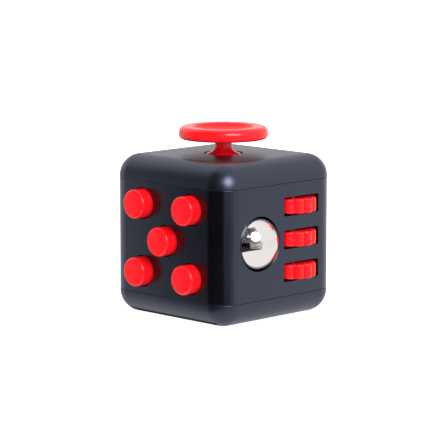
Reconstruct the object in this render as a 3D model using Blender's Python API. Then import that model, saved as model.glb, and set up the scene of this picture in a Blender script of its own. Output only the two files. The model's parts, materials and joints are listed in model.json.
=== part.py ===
"""A six-sided fidget cube: a plastic case with a different finger toy on each of its faces.

The origin is at the centre of the base, +Z is up. The sides are click (-Y), roll (+X), spin (+Y), flip (-X),
glide (top) and rest (base). Every piece that comes apart on a bench is an object of its own.
"""

import math

import bmesh
import bpy
from mathutils import Matrix, Vector

MM = 0.001

# Case
SIDE = 33.0 * MM
HALF = SIDE / 2
EDGE_RADIUS = 4.6 * MM
WALL = 1.8 * MM
INNER = HALF - WALL
INNER_RADIUS = EDGE_RADIUS - WALL
CAP_HEIGHT = 5.0 * MM
SEAM = 0.12 * MM
GAP = 0.15 * MM
FINE_GAP = 0.1 * MM
CORNER_STEPS = 4
TAB_REACH = 1.4 * MM
TAB_WALL = 1.0 * MM
TAB_START = 11.4 * MM
MIDDLE = HALF

# Fasteners, all of one size
SCREW_SHANK = 0.55 * MM
SCREW_HEAD = 1.15 * MM
SCREW_HEAD_HEIGHT = 0.7 * MM
SCREW_PILOT = 0.65 * MM
BOSS_RADIUS = 1.35 * MM
PLATE = 1.0 * MM

# Click side: five buttons on snap domes
BUTTON_RADIUS = 3.0 * MM
BUTTON_HOLE = 3.2 * MM
BUTTON_PROUD = 2.7 * MM
BUTTON_PITCH = 7.0 * MM
BUTTON_EDGE = 0.5 * MM
BUTTON_FLANGE = 3.8 * MM
FLANGE_HEIGHT = 0.8 * MM
BUTTON_NUB = 0.9 * MM
NUB_HEIGHT = 0.7 * MM
DOME_RADIUS = 2.2 * MM
DOME_HEIGHT = 0.75 * MM
DOME_SHEET = 0.15 * MM
CLICK_PLATE_HALF = 10.9 * MM
CLICK_BOSS_RISE = 9.5 * MM

# Roll side: a captive ball and three thumb wheels on one axle
GROUP_OFFSET = 6.05 * MM
BALL_RADIUS = 5.9 * MM
BALL_DEPTH = 2.95 * MM
BALL_TRAVEL = 0.8 * MM
BALL_MOUTH = 5.6 * MM
BALL_RELIEF = 6.05 * MM
BALL_CLEARANCE = 0.12 * MM
CUP_RADIUS = 3.8 * MM
CUP_FLOOR = 7.6 * MM
SPIGOT_RADIUS = 1.2 * MM
SPIGOT_LENGTH = 1.2 * MM
HOUSING_RADIUS = 4.8 * MM
HOUSING_DEPTH = 13.3 * MM
HOUSING_BOSS_RISE = 8.6 * MM
WHEEL_RADIUS = 5.0 * MM
WHEEL_LOBE = 0.55 * MM
WHEEL_LOBES = 12
WHEEL_PHASE = math.radians(-10.5)
WHEEL_WIDTH = 2.9 * MM
WHEEL_PROUD = 2.24 * MM
WHEEL_PITCH = 6.75 * MM
SLOT_LENGTH = 10.1 * MM
SLOT_WIDTH = 3.75 * MM
AXLE_RADIUS = 0.75 * MM
AXLE_HALF = 10.6 * MM

# Flip side: a two-position rocker on a steel pin
ROCKER_PIVOT_DEPTH = 2.6 * MM
ROCKER_VALLEY = 2.8 * MM
ROCKER_HALF = 6.0 * MM
ROCKER_TILT = math.radians(12.0)
ROCKER_HALF_WIDTH = 3.2 * MM
ROCKER_TAIL = 3.6 * MM
ROCKER_PIN = 0.6 * MM
ROCKER_BOSS_RISE = 10.2 * MM
ROCKER_BOX_DEPTH = 8.0 * MM

# Spin side: a dial on a ratchet
DIAL_RADIUS = 10.0 * MM
DIAL_HEIGHT = 1.9 * MM
DIAL_HUB = 2.6 * MM
DIMPLE_RADIUS = 2.3 * MM
DIMPLE_DEPTH = 1.1 * MM
DIMPLE_OFFSET = 6.2 * MM
RATCHET_RADIUS = 5.6 * MM
RATCHET_TEETH = 16
RATCHET_TOOTH = 0.25 * MM

# Glide side: a thumb disc on a stem that tilts in a gimbal
PIVOT_DEPTH = 5.0 * MM
DOME_OUTER = 6.0 * MM
DOME_INNER = 5.2 * MM
DOME_EDGE = math.radians(57.0)
STICK_HOLE = 4.05 * MM
STICK_RELIEF = 6.15 * MM
STEM_RADIUS = 1.75 * MM
STEM_SPIGOT = 1.15 * MM
SPIGOT_RISE = 0.5 * MM
DISC_RADIUS = 9.22 * MM
DISC_UNDER = 3.05 * MM
DISC_CREST = 5.6 * MM
DISC_CORNER = 0.7 * MM
DISC_SHOULDER = 4.4 * MM
SOCKET_RADIUS = 1.25 * MM
SOCKET_DEPTH = 0.6 * MM
TRUNNION = 0.7 * MM
GIMBAL_OUTER = 3.9 * MM
GIMBAL_INNER = 2.3 * MM
GIMBAL_HALF_HEIGHT = 1.0 * MM
BRACKET_RADIUS = 6.2 * MM
BRACKET_INNER = 4.9 * MM
BRACKET_RIM = 1.45 * MM
BRACKET_ARM = 1.4 * MM
BRACKET_DEPTH = 5.3 * MM
BRACKET_BOSS = 9.9 * MM

# Rest side: a shallow thumb dish
DISH_RADIUS = 9.0 * MM
DISH_DEPTH = 1.7 * MM
DISH_STRETCH = (1.0, 0.82)

# Turns local +Z to the outward normal of each side
OUTWARD = {
    "-Y": Matrix.Rotation(math.radians(90), 4, "X"),
    "+Y": Matrix.Rotation(math.radians(-90), 4, "X"),
    "+X": Matrix.Rotation(math.radians(90), 4, "Y"),
    "-X": Matrix.Rotation(math.radians(-90), 4, "Y"),
    "+Z": Matrix.Identity(4),
    "-Z": Matrix.Rotation(math.radians(180), 4, "X"),
}


# ---------------------------------------------------------------- helpers


def material(name, colour, roughness, metallic=0.0):
    made = bpy.data.materials.new(name)
    made.use_nodes = True
    shader = made.node_tree.nodes["Principled BSDF"]
    shader.inputs["Base Color"].default_value = (*colour, 1.0)
    shader.inputs["Roughness"].default_value = roughness
    shader.inputs["Metallic"].default_value = metallic
    made.diffuse_color = (*colour, 1.0)
    return made


def add(name, bm, finish, at=(0, 0, 0), facing="+Z"):
    """Makes an object of bm, at a place and facing outward from one of the cube's sides."""
    bmesh.ops.recalc_face_normals(bm, faces=bm.faces)
    mesh = bpy.data.meshes.new(name)
    bm.to_mesh(mesh)
    bm.free()
    mesh.shade_smooth()
    mesh.set_sharp_from_angle(angle=math.radians(35))
    made = bpy.data.objects.new(name, mesh)
    made.matrix_world = Matrix.Translation(at) @ OUTWARD[facing]
    bpy.context.scene.collection.objects.link(made)
    if finish:
        mesh.materials.append(finish)
    return made


def helper(name, bm, at=(0, 0, 0), facing="+Z"):
    """A shape that cuts or joins another, and is no piece itself."""
    made = add(name, bm, None, at, facing)
    made.hide_render = True
    made.display_type = "WIRE"
    return made


def combine(piece, operation, tools):
    for tool in tools:
        modifier = piece.modifiers.new(tool.name, "BOOLEAN")
        modifier.operation = operation
        modifier.solver = "EXACT"
        modifier.object = tool


def carve(piece, *tools):
    combine(piece, "DIFFERENCE", tools)


def fuse(piece, *tools):
    combine(piece, "UNION", tools)


def box(low, high):
    bm = bmesh.new()
    bmesh.ops.create_cube(bm, size=1.0)
    low, high = Vector(low), Vector(high)
    size = high - low
    bmesh.ops.scale(bm, vec=size, verts=bm.verts)
    bmesh.ops.translate(bm, vec=(low + high) / 2, verts=bm.verts)
    return bm


def turned(profile, steps=20):
    """A closed shape turned about Z from a profile of (radius, height) points that starts and ends on the axis,
    or that runs right round a hole."""
    bm = bmesh.new()
    on_axis = profile[0][0] == 0
    verts = [bm.verts.new((radius, 0, height)) for radius, height in profile]
    edges = [bm.edges.new(pair) for pair in zip(verts, verts[1:])]
    if not on_axis:
        edges.append(bm.edges.new((verts[-1], verts[0])))
    bmesh.ops.spin(
        bm,
        geom=verts + edges,
        cent=(0, 0, 0),
        axis=(0, 0, 1),
        angle=math.tau,
        steps=steps,
        use_merge=True,
    )
    bmesh.ops.remove_doubles(bm, verts=bm.verts, dist=1e-7)
    return bm


def cylinder(radius, low, high, steps=16):
    return turned([(0, low), (radius, low), (radius, high), (0, high)], steps)


def arc(radius, start, end, steps, centre=(0.0, 0.0)):
    """Points (radius, height) on an arc, with angles measured from the axis."""
    angles = [start + (end - start) * i / steps for i in range(steps + 1)]
    return [(centre[0] + radius * math.sin(a), centre[1] + radius * math.cos(a)) for a in angles]


def outline_prism(points, low, high, hole=None):
    """An extruded outline, with an optional second outline of as many points for its hole."""
    bm = bmesh.new()
    loops = []
    for outline in [points] + ([hole] if hole else []):
        for height in (low, high):
            loops.append([bm.verts.new((x, y, height)) for x, y in outline])
    count = len(points)
    for i in range(count):
        j = (i + 1) % count
        for bottom, top in zip(loops[0::2], loops[1::2]):
            bm.faces.new((bottom[i], bottom[j], top[j], top[i]))
        if hole:
            bm.faces.new((loops[0][i], loops[0][j], loops[2][j], loops[2][i]))
            bm.faces.new((loops[1][i], loops[1][j], loops[3][j], loops[3][i]))
    if not hole:
        bm.faces.new(loops[0])
        bm.faces.new(loops[1])
    return bm


def rounded_square(half, radius, steps=CORNER_STEPS):
    points = []
    for quarter in range(4):
        turn = quarter * math.pi / 2
        centre = Vector((half - radius, half - radius)).to_3d()
        for i in range(steps + 1):
            angle = turn + i / steps * math.pi / 2
            corner = Matrix.Rotation(turn, 3, "Z") @ centre
            points.append((corner.x + radius * math.cos(angle), corner.y + radius * math.sin(angle)))
    return points


def coil(radius, wire, length, turns, sides=4, steps_per_turn=8):
    """A round-wire compression spring along Z, from height 0 to length, as one closed tube."""
    bm = bmesh.new()
    rings = []
    total = int(turns * steps_per_turn)
    for i in range(total + 1):
        share = i / total
        angle = share * turns * math.tau
        height = wire + share * (length - 2 * wire)
        spoke = Vector((math.cos(angle), math.sin(angle), 0))
        centre = spoke * radius + Vector((0, 0, height))
        ring = []
        for k in range(sides):
            turn = math.tau * k / sides
            offset = spoke * math.cos(turn) + Vector((0, 0, 1)) * math.sin(turn)
            ring.append(bm.verts.new(centre + offset * wire))
        rings.append(ring)
    for first, second in zip(rings, rings[1:]):
        for k in range(sides):
            nxt = (k + 1) % sides
            bm.faces.new((first[k], first[nxt], second[nxt], second[k]))
    bm.faces.new(rings[0])
    bm.faces.new(rings[-1])
    return bm


def strip(points, thickness, half_width):
    """A bent flat strip: its centre line in local X and Z, its width along local Y."""
    bm = bmesh.new()
    line = [Vector((x, 0, z)) for x, z in points]
    rings = []
    for i, point in enumerate(line):
        before = line[max(i - 1, 0)]
        after = line[min(i + 1, len(line) - 1)]
        along = (after - before).normalized()
        normal = Vector((-along.z, 0, along.x)) * thickness / 2
        side = Vector((0, half_width, 0))
        corners = (point + normal - side, point + normal + side, point - normal + side, point - normal - side)
        rings.append([bm.verts.new(corner) for corner in corners])
    for first, second in zip(rings, rings[1:]):
        for k in range(4):
            nxt = (k + 1) % 4
            bm.faces.new((first[k], first[nxt], second[nxt], second[k]))
    bm.faces.new(rings[0])
    bm.faces.new(rings[-1])
    return bm


def screw(name, finish, at, facing, length):
    """A pan-head screw: at is under its head, and its head faces outward."""
    point = SCREW_SHANK * 0.3
    profile = [
        (0, -length),
        (point, -length),
        (SCREW_SHANK, -length + SCREW_SHANK),
        (SCREW_SHANK, 0),
        (SCREW_HEAD, 0),
        (SCREW_HEAD, SCREW_HEAD_HEIGHT * 0.6),
        (SCREW_HEAD * 0.75, SCREW_HEAD_HEIGHT),
        (0, SCREW_HEAD_HEIGHT),
    ]
    made = add(name, turned(profile, 10), finish, at, facing)
    cross = SCREW_HEAD * 0.62
    blade = SCREW_HEAD * 0.16
    depth = SCREW_HEAD_HEIGHT * 0.45
    top = SCREW_HEAD_HEIGHT * 2
    for label, x, y in (("a", cross, blade), ("b", blade, cross)):
        slot = helper(f"{name}_slot_{label}", box((-x, -y, depth), (x, y, top)), at, facing)
        carve(made, slot)
    return made


# ---------------------------------------------------------------- case


def rounded_box(half, radius, floor):
    """A rounded box about the cube's centre, with what is under floor cut off flat."""
    bm = bmesh.new()
    bmesh.ops.create_cube(bm, size=2 * half)
    bmesh.ops.bevel(
        bm, geom=bm.edges[:], offset=radius, segments=CORNER_STEPS, profile=0.5, affect="EDGES"
    )
    bmesh.ops.bisect_plane(
        bm,
        geom=bm.verts[:] + bm.edges[:] + bm.faces[:],
        plane_co=(0, 0, floor),
        plane_no=(0, 0, 1),
        clear_inner=True,
    )
    bmesh.ops.holes_fill(bm, edges=[edge for edge in bm.edges if edge.is_boundary])
    return bm


def tab_frame(low, high, outer):
    """A thin frame inside the case, which the locating tabs are cut from."""
    inner = INNER - FINE_GAP - TAB_WALL
    inner_radius = INNER_RADIUS - FINE_GAP - TAB_WALL
    hole = rounded_square(inner, inner_radius)
    return outline_prism(rounded_square(outer, outer - inner + inner_radius), low, high, hole)


def end_cap(name, finish, facing):
    """A cap with four corner tabs that reach down inside the middle of the case."""
    centre = (0, 0, MIDDLE)
    rim = HALF - CAP_HEIGHT + SEAM / 2
    cap = add(name, rounded_box(HALF, EDGE_RADIUS, rim), finish, centre, facing)
    hollow = rounded_box(INNER, INNER_RADIUS, rim - MM)
    carve(cap, helper(f"{name}_hollow", hollow, centre, facing))
    root = rim + 0.9 * MM
    frame = helper(f"{name}_tabs", tab_frame(rim - TAB_REACH, root, INNER - FINE_GAP), centre, facing)
    foot = helper(f"{name}_tab_feet", tab_frame(rim + FINE_GAP, root, INNER + 0.4 * MM), centre, facing)
    fuse(frame, foot)
    wide = HALF
    for label, x, y in (("x", TAB_START, wide), ("y", wide, TAB_START)):
        low = (-x, -y, rim - TAB_REACH - MM)
        window = helper(f"{name}_window_{label}", box(low, (x, y, root + MM)), centre, facing)
        carve(frame, window)
    fuse(cap, frame)
    return cap


def bosses(name, places, low, high, facing, radius=BOSS_RADIUS):
    """Screw posts at (x, y, z) places on the inside of a side: from low to high, measured outward from the centre."""
    made = []
    for i, place in enumerate(places):
        bm = cylinder(radius, low, high, 12)
        made.append(helper(f"{name}_boss_{i}", bm, place, facing))
    return made


def pilots(name, places, low, high, facing):
    made = []
    for i, place in enumerate(places):
        made.append(helper(f"{name}_pilot_{i}", cylinder(SCREW_PILOT, low, high, 8), place, facing))
    return made


def button_places():
    """The quincunx, as (name, x, z)."""
    step = BUTTON_PITCH
    return (
        ("top_left", -step, MIDDLE + step),
        ("top_right", step, MIDDLE + step),
        ("centre", 0.0, MIDDLE),
        ("bottom_left", -step, MIDDLE - step),
        ("bottom_right", step, MIDDLE - step),
    )


CLICK_BOSSES = [(0, 0, MIDDLE + side * CLICK_BOSS_RISE) for side in (1, -1)]
CLICK_PLATE_Y = HALF - 4.45 * MM
HOUSING_BOSSES = [(0, -GROUP_OFFSET, MIDDLE + side * HOUSING_BOSS_RISE) for side in (1, -1)]
HOUSING_PLATE_X = 8.0 * MM
WHEEL_BOSSES = [(0, 9.45 * MM, MIDDLE - WHEEL_PITCH / 2), (0, 2.65 * MM, MIDDLE + WHEEL_PITCH / 2)]
WHEEL_PLATE_X = 8.2 * MM
ROCKER_BOSSES = [(0, 0, MIDDLE + side * ROCKER_BOSS_RISE) for side in (1, -1)]
ROCKER_PLATE_X = 12.1 * MM
BRACKET_PLACES = [
    (side * BRACKET_BOSS / math.sqrt(2), side * BRACKET_BOSS / math.sqrt(2), 0) for side in (1, -1)
]
SPRING_PLACE = (-9.6 * MM, 0, MIDDLE)
SPRING_SEAT_Y = 13.5 * MM
SPRING_SHEET = 0.25 * MM
PIVOT_Z = SIDE - PIVOT_DEPTH


def body_shell(finish):
    low = CAP_HEIGHT + SEAM / 2
    bm = outline_prism(
        rounded_square(HALF, EDGE_RADIUS), low, SIDE - low, rounded_square(INNER, INNER_RADIUS)
    )
    shell = add("body_shell", bm, finish)
    into_wall = INNER + WALL / 2
    posts = bosses("click", CLICK_BOSSES, CLICK_PLATE_Y + FINE_GAP, into_wall, "-Y")
    posts += bosses("housing", HOUSING_BOSSES, HOUSING_PLATE_X + FINE_GAP, into_wall, "+X")
    posts += bosses("wheel", WHEEL_BOSSES, WHEEL_PLATE_X + FINE_GAP, into_wall, "+X", 1.2 * MM)
    posts += bosses("rocker", ROCKER_BOSSES, ROCKER_PLATE_X + FINE_GAP, into_wall, "-X")
    posts += bosses("click_spring", [SPRING_PLACE], SPRING_SEAT_Y, into_wall, "+Y")
    fuse(shell, *posts)
    bottom = INNER + 0.2 * MM
    holes = pilots("click", CLICK_BOSSES, 0, bottom, "-Y")
    holes += pilots("housing", HOUSING_BOSSES, 0, bottom, "+X")
    holes += pilots("wheel", WHEEL_BOSSES, 0, bottom, "+X")
    holes += pilots("rocker", ROCKER_BOSSES, 0, bottom, "-X")
    holes += pilots("click_spring", [SPRING_PLACE], 0, bottom + 0.6 * MM, "+Y")
    through = HALF + MM
    inside = INNER - MM
    for label, x, z in button_places():
        bm = cylinder(BUTTON_HOLE, inside, through, 20)
        holes.append(helper(f"button_hole_{label}", bm, (x, 0, z), "-Y"))
    mouth = cylinder(BALL_MOUTH, inside, through, 28)
    holes.append(helper("ball_hole", mouth, (0, -GROUP_OFFSET, MIDDLE), "+X"))
    relief = turned(arc(BALL_RELIEF, 0, math.pi, 16), 28)
    holes.append(helper("ball_relief", relief, (HALF - BALL_DEPTH, -GROUP_OFFSET, MIDDLE), "+X"))
    for i in (-1, 0, 1):
        centre = MIDDLE + i * WHEEL_PITCH
        low = (inside, GROUP_OFFSET - SLOT_LENGTH / 2, centre - SLOT_WIDTH / 2)
        high = (through, GROUP_OFFSET + SLOT_LENGTH / 2, centre + SLOT_WIDTH / 2)
        holes.append(helper(f"wheel_slot_{i + 1}", box(low, high)))
    holes.append(helper("dial_hole", cylinder(DIAL_HUB + GAP, inside, through, 20), (0, 0, MIDDLE), "+Y"))
    wide = ROCKER_HALF_WIDTH + 0.2 * MM
    tall = rocker_reach() + GAP
    low = (-through, -wide, MIDDLE - tall)
    high = (-inside, wide, MIDDLE + tall)
    holes.append(helper("rocker_hole", box(low, high)))
    carve(shell, *holes)
    return shell


def top_cap(finish):
    cap = end_cap("top_cap", finish, "+Z")
    ceiling = SIDE - WALL / 2
    posts = bosses("bracket", BRACKET_PLACES, PIVOT_Z + BRACKET_ARM + FINE_GAP, ceiling, "+Z")
    fuse(cap, *posts)
    pivot = (0, 0, PIVOT_Z)
    relief = turned(arc(STICK_RELIEF, 0, math.pi, 18), 28)
    hole = cylinder(STICK_HOLE, 0, 2 * HALF, 28)
    carve(
        cap,
        helper("stick_relief", relief, pivot),
        helper("stick_hole", hole, pivot),
        *pilots("bracket", BRACKET_PLACES, 0, SIDE - WALL + 0.2 * MM, "+Z"),
    )
    return cap


def lens(radius, base, crest, under):
    """A turned spherical cap from a flat at under, through its widest at base, up to crest, drawn out oval."""
    height = crest - base
    sphere = (radius**2 + height**2) / (2 * height)
    curve = arc(sphere, 0, math.asin(radius / sphere), 4, (0.0, crest - sphere))
    foot = [(radius, under)] if under < base else []
    bm = turned([*curve, *foot, (0, under)], 24)
    bmesh.ops.scale(bm, vec=(*DISH_STRETCH, 1), verts=bm.verts)
    return bm


def bottom_cap(finish):
    cap = end_cap("bottom_cap", finish, "-Z")
    middle = WALL / 2
    fuse(cap, helper("dish_backing", lens(DISH_RADIUS + 2.0 * MM, middle, DISH_DEPTH + WALL, middle)))
    carve(cap, helper("dish", lens(DISH_RADIUS, 0, DISH_DEPTH, -MM)))
    return cap


# ---------------------------------------------------------------- click side


def button(name, finish, x, z):
    """One cap with its flange and nub, turned about its line of travel from its origin on the face."""
    edge = BUTTON_EDGE
    flange_top = -WALL - FINE_GAP
    flange_low = flange_top - FLANGE_HEIGHT
    nub_low = flange_low - NUB_HEIGHT
    rim = arc(edge, math.pi / 2, 0, 2, (BUTTON_RADIUS - edge, BUTTON_PROUD - edge))
    profile = [
        (0, nub_low),
        (BUTTON_NUB, nub_low),
        (BUTTON_NUB, flange_low),
        (BUTTON_FLANGE, flange_low),
        (BUTTON_FLANGE, flange_top),
        (BUTTON_RADIUS, flange_top),
        *rim,
        (0, BUTTON_PROUD),
    ]
    return add(name, turned(profile, 18), finish, (x, -HALF, z), "-Y")


def dome(name, finish, x, z, thickness, crown):
    """A hollow snap dome standing on the backplate; its crown is round for steel and flat for silicone."""
    height = DOME_HEIGHT
    ring = crown * DOME_RADIUS
    profile = [
        (0, height),
        (ring, height * (0.97 if crown > 0.4 else 0.85)),
        (DOME_RADIUS * 0.8, height * 0.3),
        (DOME_RADIUS, thickness),
        (DOME_RADIUS, 0),
        (DOME_RADIUS * 0.75, 0),
        (ring * 0.9, height * 0.75 - thickness),
        (0, height - thickness),
    ]
    base = (x, -CLICK_PLATE_Y - FINE_GAP, z)
    return add(name, turned(profile, 12), finish, base, "-Y")


def click_side(finishes):
    for label, x, z in button_places():
        button(f"button_{label}", finishes["accent"], x, z)
    steel = ("top_left", "centre", "bottom_right")
    for label, x, z in button_places():
        if label in steel:
            dome(f"click_dome_{label}", finishes["spring_steel"], x, z, DOME_SHEET, 0.3)
        else:
            dome(f"soft_dome_{label}", finishes["silicone"], x, z, 2 * DOME_SHEET, 0.5)
    low = (-CLICK_PLATE_HALF, -CLICK_PLATE_Y, MIDDLE - CLICK_PLATE_HALF)
    high = (CLICK_PLATE_HALF, -CLICK_PLATE_Y + PLATE, MIDDLE + CLICK_PLATE_HALF)
    plate = add("button_backplate", box(low, high), finishes["inner"])
    nearest = CLICK_PLATE_Y - PLATE - GROUP_OFFSET
    room = math.sqrt((BALL_RADIUS + 0.4 * MM) ** 2 - nearest**2)
    for label, travel in (("out", 0), ("pressed", BALL_TRAVEL)):
        notch_at = (HALF - BALL_DEPTH - travel, 0, MIDDLE)
        carve(plate, helper(f"backplate_notch_{label}", cylinder(room, 0, HALF, 20), notch_at, "-Y"))
    carve(plate, *pilots("backplate", CLICK_BOSSES, 0, HALF, "-Y"))
    for label, place in zip(("upper", "lower"), CLICK_BOSSES):
        at = (0, -CLICK_PLATE_Y + PLATE + FINE_GAP, place[2])
        screw(f"backplate_screw_{label}", finishes["screw"], at, "+Y", 3.0 * MM)


# ---------------------------------------------------------------- roll side


def wheel_outline():
    """The rim of a thumb wheel: round lobes that meet in narrow valleys."""
    steps = 4
    points = []
    for i in range(WHEEL_LOBES * steps):
        across = (i % steps) / steps * 2 - 1
        radius = WHEEL_RADIUS - WHEEL_LOBE * across**2
        angle = WHEEL_PHASE + math.tau * i / (WHEEL_LOBES * steps)
        points.append((radius * math.cos(angle), radius * math.sin(angle)))
    return points


def ring_outline(radius, count):
    angles = [WHEEL_PHASE + math.tau * i / count for i in range(count)]
    return [(radius * math.cos(a), radius * math.sin(a)) for a in angles]


def wheels(finishes):
    x = HALF + WHEEL_PROUD - WHEEL_RADIUS
    outline = wheel_outline()
    bore = ring_outline(AXLE_RADIUS + FINE_GAP, len(outline))
    half = WHEEL_WIDTH / 2
    for label, i in (("lower", -1), ("middle", 0), ("upper", 1)):
        bm = outline_prism(outline, -half, half, bore)
        bmesh.ops.remove_doubles(bm, verts=bm.verts, dist=1e-7)
        add(f"gear_{label}", bm, finishes["accent"], (x, GROUP_OFFSET, MIDDLE + i * WHEEL_PITCH))
    axle = cylinder(AXLE_RADIUS, -AXLE_HALF, AXLE_HALF)
    add("gear_axle", axle, finishes["steel"], (x, GROUP_OFFSET, MIDDLE))
    plate_x = WHEEL_PLATE_X
    reach = INNER - GAP
    low = (plate_x - PLATE, 1.3 * MM, MIDDLE - 9.9 * MM)
    high = (plate_x, 10.8 * MM, MIDDLE + 9.9 * MM)
    bracket = add("gear_bracket", box(low, high), finishes["inner"])
    lug = 0.6 * MM
    for i, share in enumerate((-1.42, -0.5, 0.5, 1.42)):
        centre = MIDDLE + share * WHEEL_PITCH
        low = (plate_x - PLATE / 2, GROUP_OFFSET - 1.7 * MM, centre - lug)
        high = (reach, GROUP_OFFSET + 1.7 * MM, centre + lug)
        fuse(bracket, helper(f"gear_lug_{i}", box(low, high)))
    bore = cylinder(AXLE_RADIUS + FINE_GAP, -HALF, HALF)
    carve(bracket, helper("gear_lug_bore", bore, (x, GROUP_OFFSET, MIDDLE)))
    carve(bracket, *pilots("gear_bracket", WHEEL_BOSSES, 0, HALF, "+X"))
    for label, place in zip(("lower", "upper"), WHEEL_BOSSES):
        at = (plate_x - PLATE - FINE_GAP, place[1], place[2])
        screw(f"gear_bracket_screw_{label}", finishes["screw"], at, "-X", 3.2 * MM)


def ball_unit(finishes):
    ball_x = HALF - BALL_DEPTH
    centre = (ball_x, -GROUP_OFFSET, MIDDLE)
    ball = turned(arc(BALL_RADIUS, 0, math.pi, 12), 24)
    add("roller_ball", ball, finishes["chrome"], centre)
    seat = BALL_RADIUS + BALL_CLEARANCE
    rise = math.asin(CUP_RADIUS * 0.9 / seat)
    seat_arc = [(r, -h) for r, h in arc(seat, 0, rise, 5)]
    lip = seat_arc[-1][1]
    floor = -CUP_FLOOR
    cup = [
        (0, floor - SPIGOT_LENGTH),
        (SPIGOT_RADIUS, floor - SPIGOT_LENGTH),
        (SPIGOT_RADIUS, floor),
        (CUP_RADIUS, floor),
        (CUP_RADIUS, lip),
        *reversed(seat_arc),
    ]
    add("ball_cup", turned(cup), finishes["inner"], centre, "+X")
    cup_back = ball_x + floor
    back = HALF - HOUSING_DEPTH
    housing_floor = back - PLATE
    length = cup_back - back - 2 * FINE_GAP
    spring = coil(1.9 * MM, 0.22 * MM, length, 3.5)
    add("ball_spring", spring, finishes["spring_steel"], (back + FINE_GAP, -GROUP_OFFSET, MIDDLE), "+X")
    tube = turned(
        [
            (0, housing_floor),
            (HOUSING_RADIUS, housing_floor),
            (HOUSING_RADIUS, HOUSING_PLATE_X),
            (CUP_RADIUS + GAP, HOUSING_PLATE_X),
            (CUP_RADIUS + GAP, back),
            (0, back),
        ]
    )
    housing = add("ball_housing", tube, finishes["inner"], (0, -GROUP_OFFSET, MIDDLE), "+X")
    bar_half = 1.7 * MM
    tall = HOUSING_BOSS_RISE + BOSS_RADIUS
    for label, low_z, high_z in (
        ("upper", CUP_RADIUS + 0.5 * MM, tall),
        ("lower", -tall, -CUP_RADIUS - 0.5 * MM),
    ):
        low = (HOUSING_PLATE_X - PLATE, -GROUP_OFFSET - bar_half, MIDDLE + low_z)
        high = (HOUSING_PLATE_X, -GROUP_OFFSET + bar_half, MIDDLE + high_z)
        fuse(housing, helper(f"housing_arm_{label}", box(low, high)))
    carve(housing, *pilots("ball_housing", HOUSING_BOSSES, 0, HALF, "+X"))
    for label, place in zip(("upper", "lower"), HOUSING_BOSSES):
        at = (HOUSING_PLATE_X - PLATE - FINE_GAP, place[1], place[2])
        screw(f"housing_screw_{label}", finishes["screw"], at, "-X", 3.2 * MM)


# ---------------------------------------------------------------- flip side


def rocker_reach():
    """How far the rocker's ends are from its pivot."""
    end = Vector((ROCKER_HALF * math.cos(ROCKER_TILT), ROCKER_VALLEY + ROCKER_HALF * math.sin(ROCKER_TILT)))
    return end.length


def rocker_outline():
    """The rocker's side view about its pivot, level: two facets that rise from a valley, ends that are arcs about
    the pivot, and a tail that works the leaf spring. First number up the face, second outward."""
    tip_x = ROCKER_HALF * math.cos(ROCKER_TILT)
    tip_y = ROCKER_VALLEY + ROCKER_HALF * math.sin(ROCKER_TILT)
    reach = rocker_reach()
    start = math.atan2(tip_x, tip_y)
    end = math.radians(100)
    right = arc(reach, start, end, 5)
    belly = [(2.0 * MM, -1.6 * MM), (0.9 * MM, -2.0 * MM), (0.5 * MM, -ROCKER_TAIL + 0.4 * MM)]
    half = [*right, *belly]
    mirrored = [(-x, y) for x, y in reversed(half)]
    return [(0.0, ROCKER_VALLEY), *half, (0.0, -ROCKER_TAIL), *mirrored]


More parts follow.
